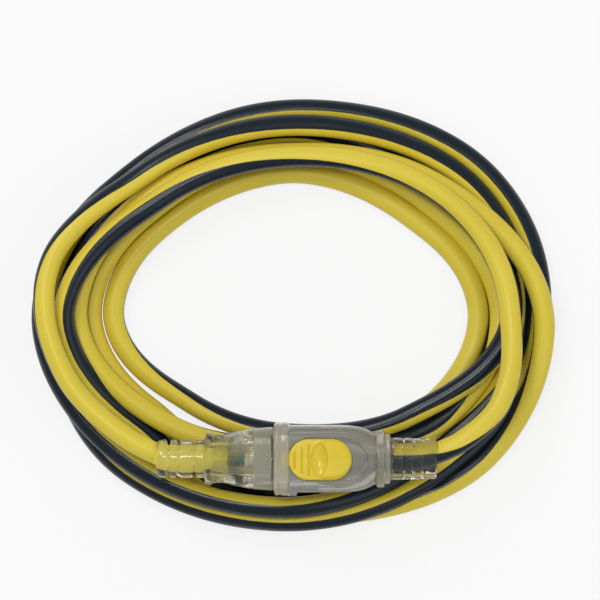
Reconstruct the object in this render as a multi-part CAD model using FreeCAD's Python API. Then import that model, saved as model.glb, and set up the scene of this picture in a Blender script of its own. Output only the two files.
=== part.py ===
import FreeCAD, Part
import math
import os

os.makedirs("parts", exist_ok=True)
V = FreeCAD.Vector

# Cord and coil, in millimetres
cord_d = 10.7
section_sides = 8
half_x = 126.8
half_y = 104.0
lane = 11.6
layer = 11.5
axis_y = 32.5 - half_y
axis_z = 38.9
flat_cut = cord_d / 10.0
least_gap_allowed = 0.4

# Plug and connector, x along the common axis
face_x = -9.6
plug_tail_x = -67.9
relief_r = 9.5
collar_x0 = -43.6
collar_x1 = -39.9
collar_r = 12.9
plug_back_r = 12.0
plug_front_r = 15.85
plug_half_height = 13.9
rib_pitch = 0.75
rib_band = 15.0
plug_jacket_x = -32.4
flange_x1 = -1.9
flange_w = 36.35
flange_h = 34.6
body_w = 33.5
body_h = 32.2
pad_rise = 0.5
pad_half_w = 13.5
pad_end_x = 36.9
ring_x0 = 41.5
ring_x1 = 45.8
ring_r = 14.35
neck_r = 10.4
neck_x1 = 71.6
jacket_x = 50.0

# Prongs and contacts
blade_t = 1.5
blade_y = 6.35
blade_z = -4.0
live_w = 6.35
neutral_w = 7.95
blade_len = 17.5
pin_d = 4.75
pin_len = 20.5
pin_z = 7.9
leaf_t = 0.8
contact_gap = 0.05
slot_gap = 0.3
wire_d = 3.6
crimp_d = 4.2
crimp_x = -24.0

# Lock
button_x0 = -2.25
button_x1 = 29.3
button_w = 20.55
button_travel = 7.0
button_z0 = 15.4
button_z1 = 16.9
lock_slope = 1.0 / 7.0
run_gap = 0.06


def box(x0, x1, y0, y1, z0, z1):
    """Box given by its limits, y and z counted from the common axis."""
    b = Part.makeBox(x1 - x0, y1 - y0, z1 - z0)
    b.translate(V(x0, axis_y + y0, axis_z + z0))
    return b


def rod(x0, x1, r, y=0.0, z=0.0):
    return Part.makeCylinder(r, x1 - x0, V(x0, axis_y + y, axis_z + z), V(1, 0, 0))


def turned(points):
    """Solid of revolution about the common axis from x and radius pairs."""
    pts = [V(x, axis_y, axis_z + r) for x, r in points]
    pts = [V(points[0][0], axis_y, axis_z)] + pts + [V(points[-1][0], axis_y, axis_z)]
    wire = Part.makePolygon(pts + [pts[0]])
    return Part.Face(wire).revolve(V(0, axis_y, axis_z), V(1, 0, 0), 360)


def rounded_prism(x0, x1, w, h, r, y=0.0, z=0.0):
    """Rounded rectangle, w across and h high, drawn out along x."""
    b = box(x0, x1, y - w / 2.0, y + w / 2.0, z - h / 2.0, z + h / 2.0)
    edges = [e for e in b.Edges if abs(e.tangentAt(e.FirstParameter).x) > 0.9]
    return b.makeFillet(r, edges)


def stadium(x0, x1, w, z0, z1, y=0.0):
    """Upright stadium with its long axis along x."""
    r = w / 2.0
    left = Part.makeCylinder(r, z1 - z0, V(x0 + r, axis_y + y, axis_z + z0), V(0, 0, 1))
    right = Part.makeCylinder(r, z1 - z0, V(x1 - r, axis_y + y, axis_z + z0), V(0, 0, 1))
    middle = box(x0 + r, x1 - r, y - r, y + r, z0, z1)
    return left.fuse([right, middle]).removeSplitter()


def arc_edge(p, t, q):
    """Arc that leaves p along t and ends at q, with its radius."""
    chord = q - p
    along = chord.dot(t)
    side = chord - t * along
    if side.Length < 1e-6:
        return Part.LineSegment(p, q).toShape(), 1e9
    n = V(side)
    n.normalize()
    across = chord.dot(n)
    r = chord.dot(chord) / (2.0 * across)
    half = math.atan2(across, along)
    mid = p + t * (r * math.sin(half)) + n * (r * (1.0 - math.cos(half)))
    return Part.Arc(p, mid, q).toShape(), r


def biarc(p0, t0, p1, t1):
    """Two arcs that meet smoothly and join p0 to p1."""
    v = p1 - p0
    a = v.dot(v)
    b = 2.0 * v.dot(t0 + t1)
    c = 2.0 * (1.0 - t0.dot(t1))
    if c < 1e-9:
        d = a / (4.0 * v.dot(t1))
    else:
        d = (-b + math.sqrt(b * b + 4.0 * a * c)) / (2.0 * c)
    q = (p0 + p1 + (t0 - t1) * d) * 0.5
    first, r0 = arc_edge(p0, t0, q)
    second, r1 = arc_edge(p1, t1 * -1.0, q)
    back = Part.Arc(q, second.valueAt((second.FirstParameter + second.LastParameter) / 2.0), p1)
    return [first, back.toShape()], min(r0, r1)


def coil_nodes():
    """Quarter turn points: lane inwards from the outline and layer number, E N W S."""
    turns = [
        [(0.42, 2.0), (1.95, 2.0), (1.31, 1.65), (0.0, 1.0)],
        [(0.0, 0.0), (0.0, 0.0), (0.0, 0.0), (1.0, 0.0)],
        [(1.0, 0.0), (1.0, 0.0), (1.0, 0.0), (2.0, 0.0)],
        [(2.0, 0.0), (2.0, 0.0), (2.0, 0.0), (3.0, 0.0)],
        [(3.0, 0.0), (3.0, 0.0), (3.0, 0.0), (4.0, 1.0)],
        [(2.5, 1.0), (2.5, 1.0), (2.5, 1.0), (2.5, 1.0)],
        [(1.5, 1.0), (0.5, 1.0), (0.3, 2.6)],
    ]
    out = []
    for turn in turns:
        for k, (inward, level) in enumerate(turn):
            reach = (half_x, half_y)[k % 2] - lane * inward
            angle = math.pi / 2.0 * k
            z = cord_d * 0.4 + layer * level
            out.append(V(reach * math.cos(angle), reach * math.sin(angle), z))
    return out


def tangents(points):
    out = [V(1, 0, 0)]
    for i in range(1, len(points) - 1):
        a = points[i] - points[i - 1]
        b = points[i + 1] - points[i]
        t = a * (1.0 / a.dot(a)) + b * (1.0 / b.dot(b))
        t.z = 0.0
        t.normalize()
        out.append(t)
    out.append(V(1, 0, 0))
    return out


def section(p, t, r):
    """Regular polygon square to t with a flat side up."""
    side = V(-t.y, t.x, 0)
    side.normalize()
    up = t.cross(side)
    pts = []
    for k in range(section_sides):
        a = 2.0 * math.pi * (k + 0.5) / section_sides
        pts.append(p + side * (r * math.cos(a)) + up * (r * math.sin(a)))
    return Part.makePolygon(pts + [pts[0]])


def tube(edges, profile):
    shell = Part.BRepOffsetAPI.MakePipeShell(Part.Wire(edges))
    shell.add(profile)
    shell.build()
    shell.makeSolid()
    return shell.shape()


def least_gap(edges):
    """Least distance between stretches over 60 mm apart along the cord, less its diameter."""
    pts = []
    run = 0.0
    for e in edges:
        n = max(2, int(e.Length / 4.0))
        for i in range(n):
            f = e.FirstParameter + (e.LastParameter - e.FirstParameter) * i / n
            p = e.valueAt(f)
            pts.append((run + e.Length * i / n, p.x, p.y, p.z))
        run += e.Length
    best = 1e9
    for i in range(len(pts)):
        s, x, y, z = pts[i]
        for j in range(i + 1, len(pts)):
            if pts[j][0] - s > 60.0:
                d = (x - pts[j][1]) ** 2 + (y - pts[j][2]) ** 2 + (z - pts[j][3]) ** 2
                best = min(best, d)
    return math.sqrt(best) - cord_d, run


def build_cord():
    start = V(neck_x1, axis_y, axis_z)
    end = V(plug_tail_x, axis_y, axis_z)
    points = [start] + coil_nodes() + [end]
    t = tangents(points)
    runs = []
    radii = []
    for i in range(len(points) - 1):
        pair, r = biarc(points[i], t[i], points[i + 1], t[i + 1])
        runs.append(pair)
        radii.append(r)
    first = V(jacket_x, axis_y, axis_z)
    lead_in = [Part.LineSegment(first, start).toShape()] + runs[0]
    coil = [e for pair in runs[1:-1] for e in pair]
    lead_out = runs[-1]
    r = cord_d / 2.0
    lead_a = tube(lead_in, section(first, V(1, 0, 0), r))
    body = tube(coil, section(points[1], t[1], r))
    lead_b = tube(lead_out, section(points[-2], t[-2], r))
    wide = 3.0 * half_x
    below = Part.makeBox(wide, wide, cord_d, V(-wide / 2.0, -wide / 2.0, -cord_d))
    cut = body.cut(below)
    gap, length = least_gap(lead_in[1:] + coil + lead_out)
    area = 0.5 * section_sides * r * r * math.sin(2.0 * math.pi / section_sides)
    print("least gap of the cord to itself", round(gap, 2), "allowed", least_gap_allowed)
    print("cord length", round(length, 1), "least bend radius", round(min(radii), 1))
    print("bend radii by quarter turn", [round(x) for x in radii])
    coil_len = sum(e.Length for e in coil)
    print("coil volume", round(body.Volume), "section times length", round(area * coil_len))
    print("coil valid", cut.isValid(), "solids", len(cut.Solids))
    jacket = tube([Part.LineSegment(end, V(plug_jacket_x, axis_y, axis_z)).toShape()],
                  section(end, V(1, 0, 0), r))
    return lead_a, cut.Solids[0], lead_b, jacket


def wire(points, d, name):
    """Round wire on straight runs with tangent arcs at its corners."""
    pts = [V(x, axis_y + y, axis_z + z) for x, y, z in points]
    edges = []
    here = pts[0]
    for i in range(1, len(pts) - 1):
        a = pts[i] - pts[i - 1]
        b = pts[i + 1] - pts[i]
        turn = a.getAngle(b)
        r = 0.45 * min(a.Length, b.Length) / math.tan(turn / 2.0)
        cut = r * math.tan(turn / 2.0)
        ua = V(a)
        ua.normalize()
        ub = V(b)
        ub.normalize()
        p = pts[i] - ua * cut
        q = pts[i] + ub * cut
        edges.append(Part.LineSegment(here, p).toShape())
        bow, radius = arc_edge(p, ua, q)
        edges.append(bow)
        print(name, "bend radius", round(radius, 1))
        here = q
    edges.append(Part.LineSegment(here, pts[-1]).toShape())
    return tube(edges, section(pts[0], V(1, 0, 0), d / 2.0))


def blade(y, w):
    """Flat blade with a holed and bevelled tip, a tail and its crimp barrel."""
    tip = face_x + blade_len
    b = box(-20.6, tip, y - blade_t / 2.0, y + blade_t / 2.0, blade_z - w / 2.0, blade_z + w / 2.0)
    edges = []
    for e in b.Edges:
        m = e.CenterOfMass
        if abs(m.x - tip) < 0.01 and abs(m.z - axis_z - blade_z) > 1.0:
            edges.append(e)
    b = b.makeChamfer(1.1, edges)
    hole = Part.makeCylinder(1.55, 4, V(tip - 4.4, axis_y + y - 2, axis_z + blade_z), V(0, 1, 0))
    barrel = rod(crimp_x, -20.0, crimp_d / 2.0, y, blade_z + 1.0)
    return b.cut(hole).fuse(barrel).removeSplitter()


def ground_pin():
    """Round pin with a bullet tip and its crimp barrel."""
    tip = face_x + pin_len
    r = pin_d / 2.0
    body = rod(-20.6, tip - r, r, 0, pin_z)
    nose = Part.makeCone(r, r * 0.45, r, V(tip - r, axis_y, axis_z + pin_z), V(1, 0, 0))
    barrel = rod(crimp_x, -20.0, crimp_d / 2.0, 0, pin_z - 1.2)
    return body.fuse([nose, barrel]).removeSplitter()


def plug_shell():
    """Outer form of the plug before the inner pieces are taken out of it."""
    tail = [(plug_tail_x, relief_r - 2.2), (plug_tail_x + 0.7, relief_r - 0.8),
            (plug_tail_x + 2.4, relief_r), (collar_x0 + 0.2, relief_r)]
    relief = turned(tail)
    for x in (-56.9, -49.1):
        for side in (-1, 1):
            y0 = min(side * 6.6, side * 12.0)
            relief = relief.cut(box(x - 0.8, x + 0.8, y0, y0 + 5.4, -7, 7))
    collar = turned([(collar_x0, collar_r - 0.5), (collar_x0 + 0.5, collar_r),
                     (collar_x1 - 0.5, collar_r), (collar_x1, collar_r - 0.5)])
    collar = collar.cut(box(collar_x0 - 1, collar_x1 + 1, -7.2, 7.2, 11.0, 16))
    swell = []
    steps = 6
    for i in range(steps + 1):
        f = i / float(steps)
        x = -37.0 + f * 23.0
        swell.append((x, plug_back_r + (plug_front_r - plug_back_r) * (0.5 - 0.5 * math.cos(math.pi * f))))
    wings = turned([(collar_x1 - 0.3, plug_back_r - 0.6)] + swell + [(face_x, plug_front_r)])
    flat = box(plug_tail_x - 1, face_x + 1, -2 * plug_front_r, 2 * plug_front_r, -plug_half_height, plug_half_height)
    wings = wings.common(flat)
    return relief.fuse([collar, wings]), flat


def ribbed_pad():
    """Raised grip pad with fine ribs along the plug, top and bottom."""
    pads = []
    for side in (-1, 1):
        z0 = min(side * 9.0, side * (plug_half_height + 0.3))
        pad = box(collar_x1 - 0.6, face_x - 0.4, -rib_band / 2.0, rib_band / 2.0, z0, z0 + 5.2)
        cuts = []
        n = int(rib_band / rib_pitch)
        for k in range(n):
            y = -rib_band / 2.0 + rib_pitch * (k + 0.5)
            top = side * (plug_half_height + 0.3)
            cuts.append(box(collar_x1 - 2, face_x, y - 0.18, y + 0.18, top - 0.3, top + 0.3))
        pads.append(pad.cut(cuts))
    return pads


def build_plug(jacket):
    live = blade(-blade_y, live_w)
    neutral = blade(blade_y, neutral_w)
    ground = ground_pin()
    x0 = plug_jacket_x
    xa = x0 + 2.2
    xb = crimp_x - 2.2
    black = wire([(x0, -1.9, -1.1), (xa, -1.9, -1.1), (xb, -blade_y, -3.0), (crimp_x, -blade_y, -3.0)],
                 wire_d, "plug black")
    white = wire([(x0, 1.9, -1.1), (xa, 1.9, -1.1), (xb, blade_y, -3.0), (crimp_x, blade_y, -3.0)],
                 wire_d, "plug white")
    green = wire([(x0, 0, 2.2), (xa, 0, 2.2), (xb, 0, 6.7), (crimp_x, 0, 6.7)], wire_d, "plug green")
    metal = [live, neutral, ground]
    bridge = rounded_prism(-19.4, face_x - 1.4, 21.0, 23.5, 3.0, 0, 0.3).cut(metal)
    shell, flat = plug_shell()
    shell = shell.fuse(ribbed_pad()).removeSplitter()
    shell = shell.cut([jacket, bridge, black, white, green] + metal)
    return {
        "plug_body": shell, "plug_bridge": bridge, "blade_live": live, "blade_neutral": neutral,
        "ground_pin": ground, "plug_wire_black": black, "plug_wire_white": white,
        "plug_wire_green": green, "plug_jacket_end": jacket,
    }


def blade_contact(y, w):
    """Two leaves on either side of a blade, joined behind it, with a crimp barrel."""
    half = blade_t / 2.0 + contact_gap
    outer = half + leaf_t
    u = box(-6.0, 13.0, y - outer, y + outer, blade_z - w / 2.0, blade_z + w / 2.0)
    gap = box(-7.0, 11.5, y - half, y + half, blade_z - w, blade_z + w)
    mouth = box(-7.0, -4.6, y - half - 0.45, y + half + 0.45, blade_z - w, blade_z + w)
    barrel = rod(12.5, 20.5, crimp_d / 2.0, y, blade_z + 0.8)
    room = box(-6.0, 13.0, y - outer, y + outer, blade_z - w / 2.0, blade_z + w / 2.0)
    return u.cut([gap, mouth]).fuse(barrel).removeSplitter(), room


def pin_contact():
    """Two leaves beside the round pin, joined under and behind it."""
    half = pin_d / 2.0 + contact_gap
    outer = half + leaf_t
    low = pin_z - half - leaf_t
    top = pin_z + 2.2
    u = box(-5.0, 13.0, -outer, outer, low, top)
    gap = box(-7.0, 12.0, -half, half, pin_z - half, top + 1)
    barrel = rod(12.5, 20.5, crimp_d / 2.0, 0, pin_z - 1.0)
    room = box(-5.0, 13.0, -outer, outer, low, top)
    return u.cut(gap).fuse(barrel).removeSplitter(), room


def lock_room():
    """Space that the wedge plate, its stem and the jaw move in."""
    chamber = box(-5.8, 16.3, -4.3, 4.3, 11.05, 14.2)
    slot = box(-0.1, 14.1, -2.3, 2.3, 14.0, 15.5)
    pocket = box(1.2, 8.8, -2.3, 2.3, 9.5, 11.2)
    return [chamber, slot, pocket]


def button_room():
    return stadium(button_x0 - 0.3, button_x1 + button_travel + 0.3, button_w + 0.6, button_z0 - 0.1, 20.0)


def connector_shell():
    """Outer form of the connector with flange, pad, shoulders, ring and neck."""
    block = rounded_prism(flange_x1 - 0.5, 42.0, body_w, body_h, 9.0)
    reach = [(flange_x1 - 0.6, 20.6), (18.0, 20.6)]
    for i in range(1, 6):
        a = math.pi / 2.0 * i / 5.0
        reach.append((18.0 + 24.2 * math.sin(a), 11.0 + 9.6 * math.cos(a)))
    body = block.common(turned(reach))
    pad = stadium(-30.0, pad_end_x, 2.0 * pad_half_w, 6.0, body_h / 2.0 + pad_rise)
    pad = pad.common(box(flange_x1 - 0.5, 50, -20, 20, 0, 20))
    flange = rounded_prism(face_x, flange_x1, flange_w, flange_h, 8.0)
    rim = [e for e in flange.Edges if abs(e.CenterOfMass.x - face_x) < 0.01]
    flange = flange.makeChamfer(1.0, rim)
    groove = rounded_prism(-6.9, -6.1, flange_w + 4, flange_h + 4, 8.0)
    groove = groove.cut(rounded_prism(-7.0, -6.0, flange_w - 0.8, flange_h - 0.8, 7.8))
    flange = flange.cut(groove)
    tab = box(-4.4, 2.1, -flange_w / 2.0 - 0.3, -body_w / 2.0 + 0.4, -3.5, 3.5)
    ring = turned([(ring_x0, ring_r - 0.7), (ring_x0 + 0.7, ring_r), (ring_x1 - 0.7, ring_r),
                   (ring_x1, ring_r - 0.7)])
    step = rod(ring_x1 - 0.2, 48.6, 12.6)
    neck = turned([(44.0, neck_r + 0.3), (neck_x1 - 0.8, neck_r - 0.3), (neck_x1, neck_r - 1.1)])
    for x in (neck_x1 - 16.6, neck_x1 - 11.6, neck_x1 - 6.6):
        for side in (-1, 1):
            z0 = min(side * 7.6, side * 12.0)
            neck = neck.cut(box(x - 0.6, x + 0.6, -6.5, 6.5, z0, z0 + 4.4))
    return body.fuse([pad, flange, tab, ring, step, neck]).removeSplitter()


def build_connector(lead):
    live, room_a = blade_contact(-blade_y, live_w)
    neutral, room_b = blade_contact(blade_y, neutral_w)
    ground, room_c = pin_contact()
    x1 = jacket_x
    black = wire([(20.5, -blade_y, -3.2), (26, -blade_y, -3.2), (44, -1.9, -1.1), (x1, -1.9, -1.1)],
                 wire_d, "connector black")
    white = wire([(20.5, blade_y, -3.2), (26, blade_y, -3.2), (44, 1.9, -1.1), (x1, 1.9, -1.1)],
                 wire_d, "connector white")
    green = wire([(20.5, 0, 6.9), (26, 0, 6.9), (44, 0, 2.2), (x1, 0, 2.2)], wire_d, "connector green")
    g = slot_gap
    slots = []
    for y, w in ((-blade_y, live_w), (blade_y, neutral_w)):
        slots.append(box(face_x - 1, -5.0, y - blade_t / 2.0 - g, y + blade_t / 2.0 + g,
                         blade_z - w / 2.0 - g, blade_z + w / 2.0 + g))
        slots.append(box(-6.0, 11.5, y - blade_t / 2.0 - contact_gap, y + blade_t / 2.0 + contact_gap,
                         blade_z - w / 2.0 - g, blade_z + w / 2.0 + g))
    slots.append(rod(face_x - 1, 12.0, pin_d / 2.0 + g, 0, pin_z))
    insert = rounded_prism(face_x, 13.0, 23.0, 24.0, 3.0, 0, -0.9)
    rooms = lock_room()
    insert = insert.cut(slots + [room_a, room_b, room_c, live, neutral, ground] + rooms)
    shell = connector_shell()
    keep = rounded_prism(face_x - 0.1, 13.0, 23.0, 24.0, 3.0, 0, -0.9)
    barrels = [live, neutral, ground]
    shell = shell.cut([keep, lead, black, white, green, button_room()] + barrels + rooms)
    return {
        "connector_body": shell, "connector_insert": insert, "contact_live": live,
        "contact_neutral": neutral, "contact_ground": ground, "connector_wire_black": black,
        "connector_wire_white": white, "connector_wire_green": green,
    }


def wedge_line(x):
    """Height of the jaw's sloping top, which the plate's underside follows."""
    return 12.3 - (x - 1.5) * lock_slope


def prism_xz(points, y0, y1):
    pts = [V(x, axis_y + y0, axis_z + z) for x, z in points]
    return Part.Face(Part.makePolygon(pts + [pts[0]])).extrude(V(0, y1 - y0, 0))


def build_lock():
    jaw = prism_xz([(1.5, pin_z + pin_d / 2.0 + run_gap), (8.5, pin_z + pin_d / 2.0 + run_gap),
                    (8.5, wedge_line(8.5)), (1.5, wedge_line(1.5))], -2.0, 2.0)
    g = run_gap
    slider = prism_xz([(-5.5, wedge_line(-5.5) + g), (9.0, wedge_line(9.0) + g), (9.0, 14.1), (-5.5, 14.1)],
                      -4.0, 4.0)
    stem = box(0.3, 6.7, -2.0, 2.0, 14.0, button_z0)
    slider = slider.fuse(stem).removeSplitter()
    plate = stadium(button_x0, button_x1, button_w, button_z0, button_z1 + 0.4)
    top = [e for e in plate.Edges if abs(e.CenterOfMass.z - axis_z - button_z1 - 0.4) < 0.01]
    plate = plate.makeChamfer(0.6, top)
    dish_x = 13.05
    dish = Part.Ellipse(V(0, 0, 0), 12.1, 6.19)
    arc = Part.ArcOfEllipse(dish, 0, math.pi).toShape()
    line = Part.LineSegment(V(-12.1, 0, 0), V(12.1, 0, 0)).toShape()
    spheroid = Part.Face(Part.Wire([arc, line])).revolve(V(0, 0, 0), V(1, 0, 0), 360)
    spheroid.rotate(V(0, 0, 0), V(0, 0, 1), 90)
    spheroid.translate(V(dish_x, axis_y, axis_z + button_z1 + 0.4 + 4.69))
    raised = stadium(button_x0 + 1.4, button_x1 - 1.4, button_w - 2.8, button_z1, button_z1 + 1.5)
    raised = raised.common(box(dish_x, 40, -20, 20, 0, 30))
    raised = raised.cut(ellipse_prism(dish_x, 4.7, 8.8, button_z1 - 1, 22))
    ribs = []
    for x, half in ((0.85, 4.6), (4.45, 6.75), (7.85, 8.0)):
        ribs.append(box(x - 0.4, x + 0.4, -half, half, button_z1, button_z1 + 0.9))
    button = plate.cut(spheroid).fuse([raised] + ribs).removeSplitter()
    return {"lock_button": button, "lock_slider": slider, "lock_jaw": jaw}


def ellipse_prism(x, rx, ry, z0, z1):
    curve = Part.Ellipse(V(0, 0, 0), max(rx, ry), min(rx, ry)).toShape()
    face = Part.Face(Part.Wire([curve]))
    solid = face.extrude(V(0, 0, z1 - z0))
    if ry > rx:
        solid.rotate(V(0, 0, 0), V(0, 0, 1), 90)
    solid.translate(V(x, axis_y, axis_z + z0))
    return solid


def main():
    lead_a, coil, lead_b, jacket = build_cord()
    nodes = {"cord_lead_connector": lead_a, "cord_coil": coil, "cord_lead_plug": lead_b}
    nodes.update(build_plug(jacket))
    nodes.update(build_connector(lead_a))
    nodes.update(build_lock())
    for name in sorted(nodes):
        shape = nodes[name]
        if len(shape.Solids) == 1:
            shape = shape.Solids[0]
        box_of = shape.BoundBox
        print(name, "solids", len(shape.Solids), "valid", shape.isValid(), "volume", round(shape.Volume, 1),
              "z", round(box_of.ZMin, 2), round(box_of.ZMax, 2))
        shape.exportStep("parts/" + name + ".step")


main()
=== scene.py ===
import bmesh
import bpy
import math
import numpy as np
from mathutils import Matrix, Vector


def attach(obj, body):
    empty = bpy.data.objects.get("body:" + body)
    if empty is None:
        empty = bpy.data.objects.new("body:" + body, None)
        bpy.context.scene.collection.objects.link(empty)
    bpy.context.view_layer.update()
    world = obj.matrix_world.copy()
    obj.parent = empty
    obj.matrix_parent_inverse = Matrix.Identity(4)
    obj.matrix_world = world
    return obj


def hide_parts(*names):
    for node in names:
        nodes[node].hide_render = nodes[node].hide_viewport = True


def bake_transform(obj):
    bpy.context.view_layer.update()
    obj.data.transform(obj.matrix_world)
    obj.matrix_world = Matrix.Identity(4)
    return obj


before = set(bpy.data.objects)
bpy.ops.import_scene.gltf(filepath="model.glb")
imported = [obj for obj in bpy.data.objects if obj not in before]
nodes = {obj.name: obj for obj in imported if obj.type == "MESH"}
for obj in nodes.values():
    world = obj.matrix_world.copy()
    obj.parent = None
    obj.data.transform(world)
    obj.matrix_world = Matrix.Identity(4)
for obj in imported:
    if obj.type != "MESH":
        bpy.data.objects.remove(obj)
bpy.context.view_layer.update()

print("frame loaded,", len(nodes), "nodes")

rootBody = "connector_and_coil"
# the plug and the connector share this line
axisY = -0.0715
axisZ = 0.0389
# the cord leaves both reliefs a little to one side
plugAside = 0.0026
plugExitY = axisY + plugAside


class Val:
    # a socket that can be used in sums
    def __init__(self, paint, socket):
        self.paint = paint
        self.socket = socket

    def calc(self, operation, *others):
        terms = dict(enumerate([self, *others]))
        return self.paint.node("ShaderNodeMath", {"operation": operation}, terms, 0)

    def __add__(self, other):
        return self.calc("ADD", other)

    def __sub__(self, other):
        return self.calc("SUBTRACT", other)

    def __rsub__(self, other):
        return self.calc("MULTIPLY_ADD", -1.0, other)

    def __mul__(self, other):
        return self.calc("MULTIPLY", other)

    __radd__ = __add__
    __rmul__ = __mul__

    def clamp(self):
        return self.calc("MAXIMUM", 0.0).calc("MINIMUM", 1.0)


class Paint:
    # one material, its shader and the nodes that feed it
    def __init__(self, name, **fixed):
        self.material = bpy.data.materials.new(name)
        self.material.use_nodes = True
        self.tree = self.material.node_tree
        self.shader = self.tree.nodes["Principled BSDF"]
        for key, value in fixed.items():
            self.shader.inputs[key.replace("_", " ")].default_value = value

    def node(self, kind, settings=None, inputs=None, out=None):
        new = self.tree.nodes.new(kind)
        for key, value in (settings or {}).items():
            if key == "stops":
                ramp = new.color_ramp.elements
                while len(ramp) < len(value):
                    ramp.new(0.5)
                for spot, (position, colour) in zip(ramp, value):
                    spot.position = position
                    spot.color = (*colour, 1.0)
            else:
                setattr(new, key, value)
        for key, value in (inputs or {}).items():
            if isinstance(value, Val):
                self.tree.links.new(value.socket, new.inputs[key])
            else:
                new.inputs[key].default_value = value
        return new if out is None else Val(self, new.outputs[out])

    def feed(self, **links):
        for key, value in links.items():
            self.tree.links.new(value.socket, self.shader.inputs[key.replace("_", " ")])

    def place(self):
        return self.node("ShaderNodeTexCoord", None, None, "Object")

    def noise(self, scale, detail=3.0):
        inputs = {"Vector": self.place(), "Scale": scale, "Detail": detail}
        return self.node("ShaderNodeTexNoise", None, inputs, "Fac")

    def blend(self, mask, first, second, way="MIX"):
        settings = {"data_type": "RGBA", "blend_type": way}
        return self.node("ShaderNodeMix", settings, {0: mask, 6: first, 7: second}, 2)

    def bump(self, height, strength, distance):
        inputs = {"Height": height, "Strength": strength, "Distance": distance}
        return self.node("ShaderNodeBump", None, inputs, "Normal")


def newMesh(name, points, faces, paint, body):
    mesh = bpy.data.meshes.new(name)
    mesh.from_pydata(points.tolist(), [], faces.tolist())
    mesh.polygons.foreach_set("use_smooth", np.ones(len(mesh.polygons), bool))
    mesh.update()
    piece = bpy.data.objects.new(name, mesh)
    bpy.context.scene.collection.objects.link(piece)
    mesh.materials.append(paint.material)
    if body:
        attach(piece, body)
    return piece


def gridFaces(rows, columns):
    # quads between neighbouring rows of a grid that closes round its columns
    r = np.arange(rows - 1)[:, None] * columns
    c = np.arange(columns)[None, :]
    n = (c + 1) % columns
    return np.stack([r + c, r + n, r + columns + n, r + columns + c], -1).reshape(-1, 4)


def smooth(x, low, high):
    # 0 below low, 1 above high, and an S curve between them
    t = np.clip((x - low) / (high - low), 0.0, 1.0)
    return t * t * (3.0 - 2.0 * t)


def within(x, edge):
    # 1 up to the first edge value and down to 0 at the second
    return 1 - smooth(x, edge[0], edge[1])


def between(x, edges):
    # up from 0 to 1 over the first two edge values, and back to 0 over the last two
    return smooth(x, edges[0], edges[1]) * within(x, edges[2:])


# the jacket is yellow on one side and black on the other
jacketLook = {
    "yellow": ((0.70, 0.55, 0.040), (0.81, 0.655, 0.070)),
    "inside": ((0.92, 0.76, 0.05), (1.0, 0.86, 0.09)),    # painted light: brighter yellows for the end seen through the plug, whose plastic shades it
    "black": ((0.003, 0.009, 0.016), (0.007, 0.017, 0.026)),
    "sharp": 14.0,         # sharpness of the line between the colours
    "wander": 0.05,        # how far that line strays
    "rough": 0.19,         # of the black side
    "roughSpread": 0.14,
    "yellowRough": 0.10,   # added on the yellow side
}


def jacketPaint(name, dark, light):
    # two colours split by the attribute that says how far a point is from the yellow side
    look = jacketLook
    paint = Paint(name, Specular_IOR_Level=0.32)
    side = paint.node("ShaderNodeAttribute", {"attribute_name": "yellowSide"}, None, "Fac")
    edge = paint.noise(240.0, 2.0) * look["wander"] - look["wander"] / 2
    mask = ((side + edge) * look["sharp"] + 0.5).clamp()
    patches = paint.noise(16.0, 2.0)
    grain = paint.noise(900.0, 2.0)
    yellow = paint.blend(patches, (*dark, 1.0), (*light, 1.0))
    black = paint.blend(grain, *[(*tone, 1.0) for tone in look["black"]])
    colour = paint.blend(mask, black, yellow)
    rough = paint.noise(60.0, 3.0) * look["roughSpread"] + mask * look["yellowRough"] + look["rough"]
    normal = paint.bump(paint.noise(420.0, 3.0), 0.12, 0.0004)
    paint.feed(Base_Color=colour, Roughness=rough, Normal=normal)
    return paint


# tints of the clear plastic by place along the part in millimetres
plasticTints = {
    "body": [(-9.7, (0.90, 0.87, 0.72)), (-2.2, (0.86, 0.83, 0.68)), (-1.2, (0.62, 0.61, 0.56)),
             (36.0, (0.60, 0.59, 0.55)), (41.5, (0.60, 0.58, 0.49)), (50.0, (0.84, 0.82, 0.72)),
             (72.0, (0.97, 0.96, 0.91))],
    "neck": [(48.0, (0.96, 0.95, 0.88)), (72.0, (0.99, 0.98, 0.92))],
    "grip": [(-68.0, (0.99, 0.98, 0.87)), (-44.5, (0.98, 0.97, 0.85)), (-39.0, (0.96, 0.95, 0.81)),
             (-9.6, (0.90, 0.89, 0.76))],
    "cloud": (0.74, 0.73, 0.70, 1.0),
}

# painted shade in the valleys between the grip ribs, standing in for the dark that the ribs refract; sizes in
# metres
ribValleyShade = {
    "pitch": 0.00101,
    "halfWidth": 0.0075,   # of the pad
    "height": 0.0134,      # from the plug's axis, just below the pad's face
    "sharp": 6000.0,
    "share": 0.6,
    "colour": (0.52, 0.52, 0.44, 1.0),
}


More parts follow.
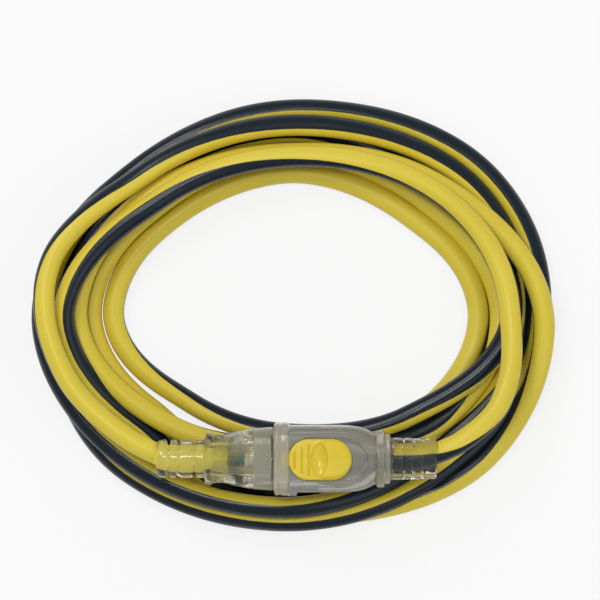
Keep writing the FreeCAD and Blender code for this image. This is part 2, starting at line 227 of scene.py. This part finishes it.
def clearPaint(name, through, zones, cloud, ribs=False):
    # cloudy clear plastic: soft flow marks, a tint that changes along the part from zone to zone, and on the
    # grip painted shade in the valleys between the ribs
    paint = Paint(name, IOR=1.40, Transmission_Weight=through, Specular_IOR_Level=0.6)
    haze = paint.noise(140.0, 3.0)
    split = paint.node("ShaderNodeSeparateXYZ", None, {"Vector": paint.place()})
    x, y, z = [Val(paint, socket) for socket in split.outputs]
    low, high = zones[0][0], zones[-1][0]
    share = ((x * 1000.0 - low) * (1 / (high - low))).clamp()
    stops = [((at - low) / (high - low), colour) for at, colour in zones]
    tint = paint.node("ShaderNodeValToRGB", {"stops": stops}, {0: share}, 0)
    colour = paint.blend(haze * cloud, tint, plasticTints["cloud"], "MULTIPLY")
    # on the grip pad, painted shade darkens the valleys between the ribs
    if ribs:
        paintedShade = ribValleyShade
        aside = y - axisY
        valley = 1.0 - (aside * (2 * math.pi / paintedShade["pitch"])).calc("COSINE").clamp()
        across = ((paintedShade["halfWidth"] - aside.calc("ABSOLUTE")) * paintedShade["sharp"]).clamp()
        onFace = (((z - axisZ).calc("ABSOLUTE") - paintedShade["height"]) * paintedShade["sharp"]).clamp()
        colour = paint.blend(valley * (across * onFace) * paintedShade["share"], colour, paintedShade["colour"])
    normal = paint.bump(paint.noise(170.0, 2.0), 0.3, 0.0005)
    paint.feed(Base_Color=colour, Roughness=haze * 0.3 * cloud + 0.04, Normal=normal)
    return paint


def plainPaint(name, dark, light, rough, scale=300.0, **fixed):
    paint = Paint(name, **fixed)
    speck = paint.noise(scale, 3.0)
    normal = paint.bump(paint.noise(scale * 3.0, 2.0), 0.1, 0.0002)
    paint.feed(Base_Color=paint.blend(speck, (*dark, 1.0), (*light, 1.0)), Roughness=speck * 0.15 + rough,
               Normal=normal)
    return paint


jacket = jacketPaint("cordJacket", *jacketLook["yellow"])
# painted light: a brighter copy of the jacket paint, for the end that lies in the plug's shade
litJacketInside = jacketPaint("litJacketInside", *jacketLook["inside"])
clear = clearPaint("cloudyPlastic", 0.66, plasticTints["body"], 0.5)
clearNeck = clearPaint("clearNeck", 0.98, plasticTints["neck"], 0.2)
grip = clearPaint("clearGrip", 0.94, plasticTints["grip"], 0.3, ribs=True)
carrier = plainPaint("milkyCarrier", (0.78, 0.76, 0.66), (0.90, 0.88, 0.78), 0.22,
                     Transmission_Weight=0.6, IOR=1.40)
bridge = plainPaint("clearBridge", (0.93, 0.92, 0.82), (0.98, 0.97, 0.89), 0.12,
                    Transmission_Weight=0.36, IOR=1.40)
metal = plainPaint("nickelBrass", (0.52, 0.47, 0.36), (0.74, 0.70, 0.60), 0.18, 500.0, Metallic=1.0)
steel = plainPaint("jawSteel", (0.40, 0.40, 0.41), (0.62, 0.62, 0.64), 0.25, 500.0, Metallic=1.0)
blackWire = plainPaint("blackInsulation", (0.012, 0.012, 0.014), (0.03, 0.03, 0.034), 0.35)
whiteWire = plainPaint("whiteInsulation", (0.55, 0.55, 0.53), (0.72, 0.72, 0.70), 0.35)
greenWire = plainPaint("greenInsulation", (0.01, 0.16, 0.10), (0.02, 0.24, 0.16), 0.35)
# painted shade: a darker, greyer copy of the green insulation for the connector's wire, which lies under the
# button behind the cloudier plastic
shadedGreenWire = plainPaint("shadedGreenInsulation", (0.10, 0.13, 0.11), (0.15, 0.19, 0.16), 0.35)
buttonYellow = plainPaint("buttonYellow", (0.72, 0.545, 0.025), (0.80, 0.62, 0.035), 0.20, 120.0)
print("finishes made")


cord = {
    "radius": 0.00535,
    "halfX": 0.1268,       # outline of the lowest, outermost turn
    "halfY": 0.1040,
    "lane": 0.0116,        # step from turn to turn inwards
    "layer": 0.01085,      # step from layer to layer upwards
    "perEighth": 4,        # control points in an eighth of a turn
    "perPoint": 14,        # rings from control point to control point
    "sides": 24,
    "lay": 0.085,          # twist of the cores that shows through the jacket
    "wave": 0.00010,       # how far the cores lift the jacket
    "lastPass": 0.16,      # the plug's own lead starts within this length of the end
}

# Each row is one turn from E by NE, N, NW, W, SW and S to SE, and the last turn ends at NW. A lane counts
# inwards from the outermost turn. The yellow side faces up at 0 degrees and outwards at 90.
turnLanes = [
    [1.53, 1.69, 2.08, 2.26, 0.95, 1.90, 0.30, -0.42],
    [0.00, 1.35, 1.95, 1.85, 1.50, 2.62, 3.30, 2.15],
    [1.90, 2.35, 1.86, 2.40, 2.10, 2.80, 1.20, 3.00],
    [2.82, 3.25, 2.72, 3.25, 3.07, 3.99, 3.80, 3.15],
    [1.35, 1.40, 0.93, 1.38, 0.85, -0.10, 0.00, 0.42],
    [0.10, -0.42, 0.00, 0.60, 0.00, 0.38, 0.62, 1.30],
    [0.93, 0.45, 0.70, 0.97],
]
turnLayers = [
    [2.10, 2.00, 2.00, 2.15, 1.90, 0.35, 0.00, 0.30],
    [1.00, 1.00, 1.00, 1.20, 0.95, 0.90, 0.95, 0.45],
    [0.00, 0.00, 0.00, 0.50, 0.00, 0.00, 0.00, 0.00],
    [0.00, 0.00, 0.00, 0.00, 0.00, 0.00, 0.30, 1.05],
    [1.10, 0.00, 0.00, 0.00, 0.00, 0.00, 0.95, 0.35],
    [0.00, 0.00, 0.00, 0.00, 1.00, 1.10, 1.75, 0.00],
    [0.00, 0.40, 1.00, 1.75],
]
turnYellow = [
    [10, 35, 75, 120, 95, 100, 95, 85],
    [10, 2, 20, 5, 10, 5, 50, 118],
    [20, 8, 0, -10, -10, -30, -95, -45],
    [-15, -12, -10, 0, 20, 65, 90, 109],
    [160, 200, 230, 250, 262, 283, 277, 265],
    [262, 258, 265, 268, 268, 254, 258, 215],
    [287, 265, 246, 276],
]

# points of the two leads: x, y, z and the way that the yellow side faces
neckRoute = [
    [0.0500, axisY, axisZ, -107], [0.0580, axisY, axisZ, -107], [0.0660, axisY + 0.0008, axisZ, -102],
    [0.0755, axisY + 0.0040, axisZ, -80], [0.0855, axisY + 0.0089, axisZ, -62],
    [0.1003, axisY + 0.0215, 0.0364, -28], [0.1059, axisY + 0.0322, 0.0340, -15],
    [0.1100, axisY + 0.0484, 0.0305, -5],
]
plugRoute = [
    [-0.0945, 0.0572, 0.0272, 284], [-0.1075, 0.0465, 0.0300, 293], [-0.1188, 0.0332, 0.0322, 303],
    [-0.1239, 0.0188, 0.0336, 314], [-0.1246, 0.0045, 0.0346, 324], [-0.1226, -0.0085, 0.0353, 331],
    [-0.1180, -0.0215, 0.0360, 337], [-0.1118, -0.0338, 0.0368, 342], [-0.1035, -0.0440, 0.0375, 346],
    [-0.0935, -0.0530, 0.0383, 349], [-0.0850, -0.0596, 0.0388, 351], [-0.0765, -0.0651, axisZ, 352],
    [-0.0679, plugExitY, axisZ, 352],
]


def cordRoute():
    # points on ovals whose half axes shrink by a lane at a time: x = (halfX - lane k) cos a, y the same
    # with halfY and sin a, with k, the layer and the yellow side going smoothly between the eighths
    tables = [np.concatenate(rows).astype(float) for rows in (turnLanes, turnLayers, turnYellow)]
    last = len(tables[0]) - 1
    step = cord["perEighth"]
    eighths = np.arange(last * step + 1) / step
    low = np.minimum(eighths.astype(int), last - 1)
    t = eighths - low
    ease = t * t * (3 - 2 * t) * 0.5 + t * 0.5
    lane, layer, yellow = [table[low] * (1 - ease) + table[low + 1] * ease for table in tables]
    angle = eighths * math.pi / 4
    x = (cord["halfX"] - cord["lane"] * lane) * np.cos(angle)
    y = (cord["halfY"] - cord["lane"] * lane) * np.sin(angle)
    z = cord["radius"] + cord["layer"] * layer
    return np.stack([x, y, z, yellow], -1)


def curveThrough(points):
    # a NURBS curve from the first point to the last, pulled towards the points between them
    data = bpy.data.curves.new("route", "CURVE")
    data.dimensions = "3D"
    data.resolution_u = cord["perPoint"]
    spline = data.splines.new("NURBS")
    spline.points.add(len(points) - 1)
    spline.points.foreach_set("co", np.c_[points, np.ones(len(points))].ravel())
    spline.order_u = 3
    spline.use_endpoint_u = True
    holder = bpy.data.objects.new("route", data)
    bpy.context.scene.collection.objects.link(holder)
    line = bpy.data.meshes.new_from_object(holder)
    out = np.zeros(len(line.vertices) * 3)
    line.vertices.foreach_get("co", out)
    bpy.data.objects.remove(holder)
    bpy.data.meshes.remove(line)
    return out.reshape(-1, 3)


def cordRings(path, yellow, along):
    # a ring at each path point: up and outward directions from the level normal, radius with three soft
    # lobes that turn once in a lay; the second result says how near a point is to the yellow side
    tangent = np.gradient(path, axis=0)
    tangent /= np.linalg.norm(tangent, axis=1)[:, None]
    out = np.cross(tangent, [0.0, 0.0, 1.0])
    out /= np.linalg.norm(out, axis=1)[:, None]
    up = np.cross(out, tangent)
    a = np.arange(cord["sides"]) * 2 * math.pi / cord["sides"]
    lobes = np.cos(3 * a[None, :] - 2 * math.pi * along[:, None] / cord["lay"])
    radius = cord["radius"] + cord["wave"] * lobes
    rings = (up[:, None, :] * (np.cos(a)[None, :] * radius)[..., None]
             + out[:, None, :] * (np.sin(a)[None, :] * radius)[..., None]) + path[:, None, :]
    return rings, np.cos(a[None, :] - np.radians(yellow)[:, None])


def cordPiece(name, rings, side, body, paint=jacket):
    rows, columns = side.shape
    # the end caps have rings of their own, so that the shading doesn't run over the rim
    points = np.concatenate([rings.reshape(-1, 3), rings[0], rings[-1]])
    c = np.arange(columns) + rows * columns
    faces = gridFaces(rows, columns).tolist() + [c[::-1].tolist(), (c + columns).tolist()]
    piece = newMesh(name, points, np.array(faces, dtype=object), paint, body)
    values = np.concatenate([side.ravel(), side[0], side[-1]])
    piece.data.attributes.new("yellowSide", "FLOAT", "POINT").data.foreach_set("value", values)
    return piece


controls = np.concatenate([neckRoute, cordRoute(), plugRoute])
path = curveThrough(controls[:, :3])
# the yellow side's angles go through a curve of their own, a thousand degrees to the metre
yellow = curveThrough(controls[:, 3:] * [0.001, 0.0, 0.0])[:, 0] * 1000.0
along = np.concatenate([[0], np.cumsum(np.linalg.norm(np.diff(path, axis=0), axis=1))])
# the last pass over the west side is where the coil ends and the plug's own lead begins
split = int(np.argmax((along > along[-1] - cord["lastPass"]) & (path[:, 1] < 0.0)))
rings, side = cordRings(path, yellow, along)
coil = cordPiece("cordCoil", rings[:split + 1], side[:split + 1], rootBody)
lead = cordPiece("cordPlugLead", rings[split:], side[split:], None)
print("cord", round(float(along[-1]), 3), "m, lead", round(float(along[-1] - along[split]), 3))

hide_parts("cord_coil", "cord_lead_connector")
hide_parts("cord_lead_plug")

jacketEnd = {
    "mouth": -0.0679,      # x of the relief's mouth
    "straight": -0.056,    # x from where it runs along the axis
    "end": -0.0324,
    "yellow": 352.0,
    "rings": 40,
}


def makeJacketEnd():
    # y strays from the axis by plugAside times the square of the way from the straight stretch to the mouth
    s = jacketEnd
    x = np.linspace(s["mouth"], s["end"], s["rings"])
    y = axisY + plugAside * (np.clip(s["straight"] - x, 0, None) / (s["straight"] - s["mouth"])) ** 2
    line = np.stack([x, y, np.full(s["rings"], axisZ)], -1)
    rings, side = cordRings(line, np.full(s["rings"], s["yellow"]), along[-1] + x - s["mouth"])
    # the end inside the plug takes the brighter jacket copy, painted light against the plug's shade
    return cordPiece("plugJacketEnd", rings, side, "plug", litJacketInside)


stub = makeJacketEnd()
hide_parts("plug_jacket_end")


def rounded(breaks, step=0.35):
    # the breakpoints resampled at even steps along the outline, then twice averaged with their neighbours
    breaks = np.array(breaks, float)
    run = np.concatenate([[0], np.cumsum(np.linalg.norm(np.diff(breaks[:, :3], axis=0), axis=1))])
    at = np.linspace(0, run[-1], int(run[-1] / step) + 1)
    rows = np.stack([np.interp(at, run, breaks[:, k]) for k in range(breaks.shape[1])], -1)
    for _ in range(2):
        rows[1:-1] = (rows[:-2] + 2 * rows[1:-1] + rows[2:]) / 4
    return rows


def squareRings(rows, a):
    # each ring is a superellipse: 1 / r^n = (|cos a| / halfWidth)^n + (|sin a| / halfHeight)^n
    x, w, h, n, lift = [rows[:, k][:, None] for k in range(5)]
    r = ((np.abs(np.cos(a)) / w) ** n + (np.abs(np.sin(a)) / h) ** n) ** (-1.0 / n)
    return x + 0 * r, r * np.cos(a), r * np.sin(a) + lift


def closedGrid(name, x, y, z, paint, body, slot):
    # rings of a closed skin in millimetres about the common axis, with a pole at each end
    rows, columns = x.shape
    grid = np.stack([x, y, z], -1)
    points = np.concatenate([grid.reshape(-1, 3), grid[0].mean(0)[None], grid[-1].mean(0)[None]])
    points = points * 0.001 + [0.0, axisY, axisZ]
    c = np.arange(columns)
    n = (c + 1) % columns
    last = (rows - 1) * columns
    head = np.stack([c * 0 + rows * columns, n, c], -1)
    tail = np.stack([c * 0 + rows * columns + 1, last + c, last + n], -1)
    faces = gridFaces(rows, columns).tolist() + head.tolist() + tail.tolist()
    return newMesh(name, points, np.array(faces, dtype=object), paint, body)


# All lengths of the plug, the connector and the button are in millimetres, with heights and widths from
# the common axis. Two values for an edge are where a form begins to change and where it has changed.
plugShape = {
    "around": (56, 170),   # faces round a side and across a grip pad
    "padAngle": 28.8,      # half the angle that a pad's faces take
    "step": 0.5,           # from ring to ring
    # x, half width, half height, squareness, lift
    "outline": [
        (-67.9, 6.6, 6.6, 2.1, 0), (-67.7, 8.2, 8.2, 2.1, 0), (-66.6, 9.2, 9.2, 2.1, 0),
        (-65.0, 9.5, 9.5, 2.1, 0), (-44.3, 9.5, 9.5, 2.1, 0), (-43.7, 12.3, 12.3, 2.2, 0),
        (-43.2, 12.9, 12.9, 2.2, 0), (-40.4, 12.9, 12.9, 2.2, 0), (-39.8, 12.2, 11.9, 2.4, 0),
        (-36.5, 11.9, 12.1, 2.5, 0), (-34.4, 12.1, 12.5, 2.5, 0), (-28.9, 13.5, 13.3, 2.7, 0),
        (-21.4, 15.0, 13.8, 2.9, 0), (-14.0, 15.6, 13.9, 3.0, 0), (-10.1, 15.85, 13.9, 3.0, 0),
        (-9.65, 15.4, 13.5, 3.0, 0), (-9.62, 8.0, 7.0, 3.0, 0), (-9.62, 0.3, 0.3, 3.0, 0)],
    "reliefEnd": -44.0,
    "slots": {"at": (-61.8, -56.9, -49.1), "across": (4.4, 6.4), "along": (0.45, 1.1), "depth": 2.2},
    "grooves": {"along": (0.3, 0.8), "share": 0.05},
    "collarGap": {"across": (6.8, 7.4), "along": (-44.2, -43.4, -40.2, -39.6), "height": 11.2},
    "pad": {"across": (7.35, 7.75), "along": (-40.7, -40.2, -10.4, -10.0), "height": 14.0, "above": 9.0},
    "ribs": {"pitch": 1.01, "height": 0.26, "middle": -25.2, "along": (14.0, 14.6)},
    "hollows": {"across": (7.9, 8.6, 10.6, 11.4), "along": (-39.4, -38.8, -35.4, -33.4), "depth": 2.4,
                "above": 3.0},
    "pips": {"count": 7, "first": -23.5, "step": 2.0, "aside": 9.6, "stagger": 0.35, "size": 0.35,
             "height": 0.55, "above": 4.0},
}


def makePlug():
    # angles are close together over the grip pads, so that each rib has its own faces
    shape = plugShape
    sideFaces, padFaces = shape["around"]
    padReach = math.radians(shape["padAngle"])
    sideReach = math.pi / 2 - padReach
    stretches = ((0.0, sideReach, sideFaces), (math.pi / 2, padReach, padFaces),
                 (math.pi, sideReach, sideFaces), (3 * math.pi / 2, padReach, padFaces))
    turn = np.concatenate([np.linspace(middle - reach, middle + reach, count, endpoint=False)
                           for middle, reach, count in stretches])
    x, y, z = squareRings(rounded(shape["outline"], shape["step"]), turn)
    side = np.sign(z)
    wide = np.abs(y)
    # flex slots cut into both sides of the relief, with a faint groove all round at each
    slots, grooves = shape["slots"], shape["grooves"]
    for at in slots["at"]:
        relief = x < shape["reliefEnd"]
        cut = smooth(wide, *slots["across"]) * within(np.abs(x - at), slots["along"]) * relief
        y = y - np.sign(y) * cut * slots["depth"]
        groove = grooves["share"] * within(np.abs(x - at), grooves["along"]) * relief
        y, z = y * (1 - groove), z * (1 - groove)
    # the collar is open where the grip pad runs through it
    gap = shape["collarGap"]
    opening = within(wide, gap["across"]) * between(x, gap["along"])
    z = z - side * opening * np.maximum(np.abs(z) - gap["height"], 0)
    # grip pad, flat on top and bottom, standing proud of the wings, with a wave of ribs across it
    flat, ribs = shape["pad"], shape["ribs"]
    pad = within(wide, flat["across"]) * between(x, flat["along"]) * (np.abs(z) > flat["above"])
    wave = ribs["height"] * np.cos(2 * math.pi * y / ribs["pitch"])
    wave = wave * within(np.abs(x - ribs["middle"]), ribs["along"])
    z = z * (1 - pad) + side * (flat["height"] + wave) * pad
    # hollows beside the pad, next to the collar
    dip = shape["hollows"]
    hollow = between(wide, dip["across"]) * between(x, dip["along"])
    z = z - side * hollow * dip["depth"] * (np.abs(z) > dip["above"])
    # two rows of small pips on the wings: height times e to the minus distance squared over size
    pips = shape["pips"]
    for k in range(pips["count"]):
        spot = pips["first"] + pips["step"] * k
        near = (x - spot) ** 2 + (wide - pips["aside"] - pips["stagger"] * (k % 2)) ** 2
        z = z + side * pips["height"] * np.exp(-near / pips["size"]) * (np.abs(z) > pips["above"])
    piece = closedGrid("plugShell", x, y, z, grip, "plug", "clear_plastic")
    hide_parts("plug_body")
    return piece


connectorShape = {
    "around": 240,
    # x, half width, half height, squareness, lift, from the bottom of the socket out round the mouth and
    # back along the outside
    "outline": [
        (13.2, 0.5, 0.5, 8, -0.9), (13.2, 11.7, 12.2, 8, -0.9), (-9.3, 11.7, 12.2, 8, -0.9),
        (-9.6, 12.0, 12.5, 7, -0.8), (-9.6, 16.4, 15.6, 5, 0), (-9.0, 17.7, 16.9, 5, 0),
        (-8.3, 18.17, 17.3, 5, 0), (-7.2, 18.17, 17.3, 5, 0), (-6.9, 17.7, 16.8, 5, 0),
        (-6.2, 17.7, 16.8, 5, 0), (-5.9, 18.17, 17.3, 5, 0), (-2.6, 18.17, 17.3, 5, 0),
        (-1.9, 17.2, 16.4, 4.6, 0), (-1.5, 16.75, 16.1, 4.4, 0), (24.0, 16.75, 16.1, 4.4, 0),
        (28.0, 16.6, 16.0, 4.0, 0), (31.1, 16.3, 15.7, 3.7, 0), (34.0, 15.8, 15.1, 3.3, 0),
        (36.2, 15.1, 14.5, 3.0, 0), (38.6, 14.1, 13.6, 2.7, 0), (41.0, 12.9, 12.6, 2.4, 0),
        (41.4, 12.8, 12.6, 2.2, 0), (41.6, 13.9, 13.9, 2.1, 0), (42.2, 14.35, 14.35, 2, 0),
        (45.2, 14.35, 14.35, 2, 0), (45.8, 13.6, 13.6, 2, 0), (46.0, 12.6, 12.6, 2, 0),
        (48.3, 12.5, 12.5, 2, 0), (48.7, 10.9, 10.9, 2, 0), (49.6, 10.5, 10.5, 2, 0),
        (60.0, 10.35, 10.35, 2, 0), (70.4, 10.05, 10.05, 2, 0), (71.3, 9.9, 9.9, 2, 0),
        (71.6, 9.3, 9.3, 2, 0), (71.6, 0.3, 0.3, 2, 0)],
    "socketRings": 100,    # the rings up to this one line the socket
    "skin": 9.6,           # the outside lies further from the axis than this
    "top": {"along": (-1.6, 41.2), "above": 9.0},
    "pad": {"spine": (-30.0, 23.4), "half": 13.5, "edge": (-0.3, 0.3), "height": 16.6, "above": 14.0},
    "well": {"spine": (7.75, 26.0), "half": 10.55, "edge": (-0.2, 0.2), "height": 15.28},
    "pocket": {"across": (4.25, 4.6), "along": (-2.6, -2.35, 16.25, 16.5), "height": 11.03},
    "slots": {"at": (55.0, 60.0, 65.0), "across": (5.8, 6.6), "along": (0.4, 0.8), "depth": 1.1},
    "tab": {"along": (-4.5, -4.1, 1.8, 2.2), "upright": (3.2, 3.6), "near": -12.0, "reach": -18.4},
    "neck": {"from": 48.6, "overlap": 0.6},    # the neck's own piece starts this far inside the body's end
}


def stadiumGap(x, y, form):
    # distance outside a stadium: from the nearest point of its spine, less its half width
    return np.hypot(x - np.clip(x, *form["spine"]), y) - form["half"]


def makeConnector():
    shape = connectorShape
    turn = (np.arange(shape["around"]) + 0.5) * 2 * math.pi / shape["around"]
    x, y, z = squareRings(rounded(shape["outline"]), turn)
    pastSocket = np.arange(len(x)) > shape["socketRings"]
    outside = (np.hypot(y, z) > shape["skin"]) & pastSocket[:, None]
    start, end = shape["top"]["along"]
    top = outside & (z > shape["top"]["above"]) & (x > start) & (x < end)
    # raised pad with a round end, the well that the button slides in, and the pocket under the slider
    pad, well, pocket = shape["pad"], shape["well"], shape["pocket"]
    raised = within(stadiumGap(x, y, pad), pad["edge"])
    z = z + np.where(top, raised * (pad["height"] - z) * (z > pad["above"]), 0)
    sunk = within(stadiumGap(x, y, well), well["edge"])
    z = z - np.where(top, sunk * (z - well["height"]), 0)
    deep = within(np.abs(y), pocket["across"]) * between(x, pocket["along"])
    z = z - np.where(top, deep * (z - pocket["height"]), 0)
    # flex slots above and below the cord
    slots, neck = shape["slots"], shape["neck"]
    for at in slots["at"]:
        cut = within(np.abs(y), slots["across"]) * within(np.abs(x - at), slots["along"])
        z = z - np.sign(z) * cut * (x > neck["from"]) * outside * slots["depth"]
    # a small tab behind the flange, on the near side
    lug = shape["tab"]
    tab = between(x, lug["along"]) * (y < lug["near"]) * within(np.abs(z), lug["upright"]) * outside
    y = y * (1 - tab) + lug["reach"] * tab
    # the neck is a clearer piece of its own
    cut = int(np.argmax((x[:, 0] > neck["from"]) & pastSocket))
    piece = closedGrid("connectorShell", x[:cut], y[:cut], z[:cut], clear, rootBody, "clear_plastic")
    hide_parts("connector_body")
    ends = [np.concatenate([part[cut:cut + 1] - back, part[cut:]])
            for part, back in ((x, neck["overlap"]), (y, 0.0), (z, 0.0))]
    closedGrid("connectorNeck", *ends, clearNeck, rootBody, "clear_plastic")


buttonShape = {
    "left": 8.025,         # ends of the spine
    "right": 19.025,
    "half": 10.275,
    "base": 15.4,
    "top": 17.2,
    "around": (112, 38),   # points round an end and along a side, the same on both sides of the spine
    "rings": 90,
    "rim": {"width": 0.9, "drop": 0.7},
    "ribs": {"at": (0.85, 4.45, 7.85), "reach": (4.6, 6.75, 8.0), "fade": 0.7, "width": 0.34, "height": 0.95},
    "dish": {"middle": 13.0, "half": (4.1, 8.0), "depth": 1.75},
    "lip": {"at": 1.03, "width": 0.045, "height": 0.4},    # place as a share of the dish
    "rise": {"dish": (0.98, 1.12), "along": (-0.6, 1.8), "rim": (0.3, 2.2), "height": 1.25,
             "fall": (17.0, 29.0), "fallShare": 0.45},
}


def makeButton():
    b = buttonShape
    # a point of the outline is its place on the spine plus half the width towards its angle, and the
    # rings inside it are the same with a smaller share u of that width
    half, length = b["half"], b["right"] - b["left"]
    onArc, onSide = b["around"]
    arc = np.linspace(0, math.pi, onArc, endpoint=False)
    straight = np.linspace(0, length, onSide, endpoint=False)
    level = np.zeros(onSide)
    turn = np.concatenate([arc, level + math.pi, arc + math.pi, level + 2 * math.pi]) - math.pi / 2
    shift = np.concatenate([0 * arc, straight, 0 * arc + length, length - straight])
    spine = b["right"] - shift
    u = np.linspace(0.0, 1.0, b["rings"])[:, None]
    x = spine[None, :] + np.cos(turn)[None, :] * half * u
    y = np.sin(turn)[None, :] * half * u
    inwards = half * (1 - u) + 0 * x
    z = b["top"] - b["rim"]["drop"] * within(inwards, (0.0, b["rim"]["width"])) ** 2
    # an oval dish with a fine lip, in a swelling that falls away to the right
    dish, lip, rise = b["dish"], b["lip"], b["rise"]
    fromMiddle = x - dish["middle"]
    e = np.hypot(fromMiddle / dish["half"][0], y / dish["half"][1])
    raised = smooth(e, *rise["dish"]) * smooth(fromMiddle, *rise["along"]) * smooth(inwards, *rise["rim"])
    z = z + rise["height"] * raised * (1 - rise["fallShare"] * smooth(x, *rise["fall"]))
    z = z - dish["depth"] * np.clip(1 - e ** 2, 0, None)
    z = z + lip["height"] * np.exp(-((e - lip["at"]) / lip["width"]) ** 2)
    # ribs for the thumb: height times e to the minus square of the way along over width
    ribs = b["ribs"]
    for at, reach in zip(ribs["at"], ribs["reach"]):
        ends = within(np.abs(y), (reach - ribs["fade"], reach))
        z = z + ribs["height"] * np.exp(-((x - at) / ribs["width"]) ** 2) * ends
    low = 0 * spine + b["base"]
    edge = np.stack([x[-1], y[-1], low], -1)
    baseLine = np.stack([spine, 0 * spine, low], -1)
    rows = np.concatenate([np.stack([x, y, z], -1), edge[None], baseLine[None]])
    points = rows.reshape(-1, 3) * 0.001 + [0.0, axisY, axisZ]
    faces = gridFaces(*rows.shape[:2])[:, ::-1]
    piece = newMesh("lockButton", points, faces, buttonYellow, "lock_button")
    weldSeams(piece, 0.00001)
    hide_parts("lock_button")


def weldSeams(piece, reach):
    # the two sides meet along the spine, where their points are made one
    work = bmesh.new()
    work.from_mesh(piece.data)
    bmesh.ops.remove_doubles(work, verts=work.verts, dist=reach)
    bmesh.ops.recalc_face_normals(work, faces=work.faces)
    work.to_mesh(piece.data)
    work.free()


plugShell = makePlug()
makeConnector()
makeButton()
print("shells and button made")


solidFinishes = [
    (carrier, ["connector_insert"]),
    (bridge, ["plug_bridge"]),
    (metal, ["contact_live", "contact_neutral", "contact_ground"]),
    (metal, ["blade_live", "blade_neutral", "ground_pin"]),
    (blackWire, ["connector_wire_black", "plug_wire_black"]),
    (whiteWire, ["connector_wire_white", "plug_wire_white"]),
    (greenWire, ["plug_wire_green"]),
    (shadedGreenWire, ["connector_wire_green"]),
    (steel, ["lock_jaw"]),
    (buttonYellow, ["lock_slider"]),
]


def paintSolid(name, paint):
    slots = nodes[name].data.materials
    if len(slots):
        slots[0] = paint.material
    else:
        slots.append(paint.material)


for paint, names in solidFinishes:
    for name in names:
        paintSolid(name, paint)
print("solids painted")


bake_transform(lead)


studio = {
    "floorSize": 3.0,
    "floorDrop": 0.0004,
    "floorShade": 0.86,
    "whiteShare": 0.80,    # how much of the floor's shade is plain white to the camera
    "skyStrength": 0.46,
    # place, size and power; the last is high up beside the camera, for a soft sheen along every strand
    "lamps": {"key": ((-0.5, 0.7, 1.1), 0.4, 4.5), "fill": ((0.8, -0.5, 1.0), 0.9, 2.5),
              "front": ((-0.25, 0.30, 1.9), 0.34, 7.0)},
    "cameraPlace": (0.0036, 0.00765, 3.03),
    "lens": 360.0,
}


def makeFloor():
    s, low = studio["floorSize"], -studio["floorDrop"]
    points = np.array([[-s, -s, low], [s, -s, low], [s, s, low], [-s, s, low]])
    paint = Paint("paleFloor", Roughness=0.9)
    paint.shader.inputs["Base Color"].default_value = (studio["floorShade"],) * 3 + (1.0,)
    rays = paint.node("ShaderNodeLightPath")
    seen = Val(paint, rays.outputs["Is Camera Ray"])
    for kind in ("Is Glossy Ray", "Is Transmission Ray"):
        seen = seen.calc("MAXIMUM", Val(paint, rays.outputs[kind]))
    glow = paint.node("ShaderNodeEmission", None, {"Color": (1.0, 1.0, 1.0, 1.0), "Strength": 1.0}, 0)
    layers = {0: seen * studio["whiteShare"], 1: Val(paint, paint.shader.outputs[0]), 2: glow}
    both = paint.node("ShaderNodeMixShader", None, layers, 0)
    paint.tree.links.new(both.socket, paint.tree.nodes["Material Output"].inputs["Surface"])
    floor = newMesh("floor", points, np.array([[0, 1, 2, 3]]), paint, None)


def makeSky():
    sky = bpy.data.worlds.new("softRoom")
    sky.use_nodes = True
    background = sky.node_tree.nodes["Background"]
    background.inputs["Color"].default_value = (1.0, 1.0, 1.0, 1.0)
    background.inputs["Strength"].default_value = studio["skyStrength"]
    bpy.context.scene.world = sky


def makeLamp(name, place, size, power):
    # a square lamp that looks at the middle of the coil
    data = bpy.data.lights.new(name, "AREA")
    data.size = size
    data.energy = power
    lamp = bpy.data.objects.new(name, data)
    bpy.context.scene.collection.objects.link(lamp)
    lamp.location = place
    lamp.rotation_euler = (-Vector(place)).to_track_quat("-Z", "Y").to_euler()


def makeCamera():
    data = bpy.data.cameras.new("above")
    data.sensor_width = 36.0
    data.lens = studio["lens"]
    data.dof.use_dof = False
    camera = bpy.data.objects.new("above", data)
    bpy.context.scene.collection.objects.link(camera)
    camera.location = studio["cameraPlace"]
    bpy.context.scene.camera = camera


makeFloor()
makeSky()
for name, lamp in studio["lamps"].items():
    makeLamp(name, *lamp)
makeCamera()
bpy.context.scene.view_settings.view_transform = "Standard"
print("stage set")
